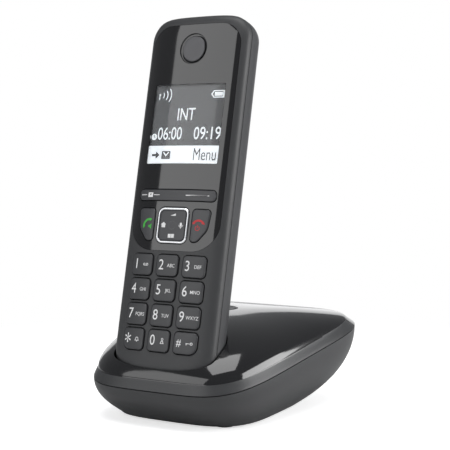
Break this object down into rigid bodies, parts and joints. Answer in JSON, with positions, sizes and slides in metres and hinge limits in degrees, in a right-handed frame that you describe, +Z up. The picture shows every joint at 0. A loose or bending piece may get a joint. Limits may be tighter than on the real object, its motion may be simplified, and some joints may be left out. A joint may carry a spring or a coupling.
{
  "type": "cordless telephone",
  "caption": "Slim cordless telephone handset with keypad and display, standing in a low rounded charging base.",
  "frame": {"origin": "centre of the base's footprint on the table", "axes": "+Z up, +Y towards the back of the base, -Y the side that the keypad faces, +X to the right of the keypad"},
  "size_m": [0.0986, 0.107, 0.1713],
  "materials": {
    "handset_plastic": "fine-textured matt charcoal moulding",
    "back_plastic": "fine-textured matt charcoal moulding",
    "gloss_black": "polished black",
    "display_glass": "clear display lens",
    "display": "grey reflective display with dark figures",
    "key_plastic": "matt charcoal key caps with white figures",
    "gloss_key": "polished black keys",
    "chrome_trim": "bright plated trim",
    "speaker_metal": "pressed metal",
    "grey_trim": "satin grey earpiece disc",
    "silicone": "soft grey silicone",
    "circuit_board": "green solder resist",
    "shield_tin": "tinned steel",
    "spring_metal": "gold-plated contact metal",
    "cell_wrap": "green sleeve with a bright cap",
    "steel": "zinc-plated steel",
    "base_gloss": "polished black with a satin rim",
    "base_satin": "satin charcoal moulding",
    "socket_plastic": "matt black moulding",
    "foot_rubber": "matt black rubber"
  },
  "bodies": {
    "base": {"base_top_cover": "base_gloss", "base_bottom_shell": "base_satin", "page_switch": "socket_plastic", "base_pcb": "circuit_board", "base_shield": "shield_tin", "charge_pin_holder": "socket_plastic", "line_socket": "socket_plastic", "power_socket": "socket_plastic", "base_feet": "foot_rubber", "base_screws": "steel"},
    "handset": {"handset_front_shell": "handset_plastic", "handset_back_shell": "back_plastic", "faceplate": "gloss_black", "display_window": "display_glass", "display_module": "display", "earpiece_cover": "grey_trim", "earpiece_speaker": "speaker_metal", "key_mat": "silicone", "dome_switches": "spring_metal", "handset_pcb": "circuit_board", "handset_shield": "shield_tin", "loudspeaker": "speaker_metal", "microphone": "speaker_metal", "battery_1": "cell_wrap", "battery_2": "cell_wrap", "battery_contacts": "spring_metal", "handset_contacts": "spring_metal", "handset_screws": "steel", "nav_frame": "chrome_trim"},
    "battery_door": {"battery_door": "back_plastic"},
    "softkey_bar": {"softkey_bar": "gloss_key"},
    "nav_pivot": {"nav_pivot": "silicone"},
    "nav_key": {"nav_key": "gloss_key"},
    "talk_key": {"talk_key": "gloss_key"},
    "end_key": {"end_key": "gloss_key"},
    "key_1": {"key_1": "key_plastic"},
    "key_2": {"key_2": "key_plastic"},
    "key_3": {"key_3": "key_plastic"},
    "key_4": {"key_4": "key_plastic"},
    "key_5": {"key_5": "key_plastic"},
    "key_6": {"key_6": "key_plastic"},
    "key_7": {"key_7": "key_plastic"},
    "key_8": {"key_8": "key_plastic"},
    "key_9": {"key_9": "key_plastic"},
    "key_star": {"key_star": "key_plastic"},
    "key_0": {"key_0": "key_plastic"},
    "key_hash": {"key_hash": "key_plastic"},
    "page_key": {"page_key": "key_plastic"},
    "charge_pin_left": {"charge_pin_left": "spring_metal"},
    "charge_pin_right": {"charge_pin_right": "spring_metal"}
  },
  "joints": [
    {"name": "handset_lift", "type": "slide", "parent": "base", "child": "handset", "axis": [0, 0.2164, 0.9763], "range_m": [0, 0.06]},
    {"name": "battery_door_off", "type": "slide", "parent": "handset", "child": "battery_door", "axis": [0, 0.9763, -0.2164], "range_m": [0, 0.012]},
    {"name": "softkey_rock", "type": "hinge", "parent": "handset", "child": "softkey_bar", "pos_m": [0, -0.03163, 0.09485], "axis": [0, 0.2164, 0.9763], "range_deg": [-2.5, 2.5], "stiffness_Nm_per_rad": 0.05},
    {"name": "nav_tilt_up_down", "type": "hinge", "parent": "handset", "child": "nav_pivot", "pos_m": [0, -0.03401, 0.08227], "axis": [1, 0, 0], "range_deg": [-3, 3], "stiffness_Nm_per_rad": 0.05},
    {"name": "nav_tilt_left_right", "type": "hinge", "parent": "nav_pivot", "child": "nav_key", "pos_m": [0, -0.03401, 0.08227], "axis": [0, 0.2164, 0.9763], "range_deg": [-3, 3], "stiffness_Nm_per_rad": 0.05},
    {"name": "talk_press", "type": "slide", "parent": "handset", "child": "talk_key", "axis": [0, 0.9763, -0.2164], "range_m": [0, 0.0006], "stiffness_N_per_m": 400},
    {"name": "end_press", "type": "slide", "parent": "handset", "child": "end_key", "axis": [0, 0.9763, -0.2164], "range_m": [0, 0.0006], "stiffness_N_per_m": 400},
    {"name": "key_1_press", "type": "slide", "parent": "handset", "child": "key_1", "axis": [0, 0.9763, -0.2164], "range_m": [0, 0.0006], "stiffness_N_per_m": 400},
    {"name": "key_2_press", "type": "slide", "parent": "handset", "child": "key_2", "axis": [0, 0.9763, -0.2164], "range_m": [0, 0.0006], "stiffness_N_per_m": 400},
    {"name": "key_3_press", "type": "slide", "parent": "handset", "child": "key_3", "axis": [0, 0.9763, -0.2164], "range_m": [0, 0.0006], "stiffness_N_per_m": 400},
    {"name": "key_4_press", "type": "slide", "parent": "handset", "child": "key_4", "axis": [0, 0.9763, -0.2164], "range_m": [0, 0.0006], "stiffness_N_per_m": 400},
    {"name": "key_5_press", "type": "slide", "parent": "handset", "child": "key_5", "axis": [0, 0.9763, -0.2164], "range_m": [0, 0.0006], "stiffness_N_per_m": 400},
    {"name": "key_6_press", "type": "slide", "parent": "handset", "child": "key_6", "axis": [0, 0.9763, -0.2164], "range_m": [0, 0.0006], "stiffness_N_per_m": 400},
    {"name": "key_7_press", "type": "slide", "parent": "handset", "child": "key_7", "axis": [0, 0.9763, -0.2164], "range_m": [0, 0.0006], "stiffness_N_per_m": 400},
    {"name": "key_8_press", "type": "slide", "parent": "handset", "child": "key_8", "axis": [0, 0.9763, -0.2164], "range_m": [0, 0.0006], "stiffness_N_per_m": 400},
    {"name": "key_9_press", "type": "slide", "parent": "handset", "child": "key_9", "axis": [0, 0.9763, -0.2164], "range_m": [0, 0.0006], "stiffness_N_per_m": 400},
    {"name": "key_star_press", "type": "slide", "parent": "handset", "child": "key_star", "axis": [0, 0.9763, -0.2164], "range_m": [0, 0.0006], "stiffness_N_per_m": 400},
    {"name": "key_0_press", "type": "slide", "parent": "handset", "child": "key_0", "axis": [0, 0.9763, -0.2164], "range_m": [0, 0.0006], "stiffness_N_per_m": 400},
    {"name": "key_hash_press", "type": "slide", "parent": "handset", "child": "key_hash", "axis": [0, 0.9763, -0.2164], "range_m": [0, 0.0006], "stiffness_N_per_m": 400},
    {"name": "page_press", "type": "slide", "parent": "base", "child": "page_key", "axis": [0, 0.1045, -0.9945], "range_m": [0, 0.0005], "stiffness_N_per_m": 400},
    {"name": "charge_pin_left_press", "type": "slide", "parent": "base", "child": "charge_pin_left", "axis": [0, -0.2164, -0.9763], "range_m": [0, 0.0008], "stiffness_N_per_m": 200},
    {"name": "charge_pin_right_press", "type": "slide", "parent": "base", "child": "charge_pin_right", "axis": [0, -0.2164, -0.9763], "range_m": [0, 0.0008], "stiffness_N_per_m": 200}
  ]
}
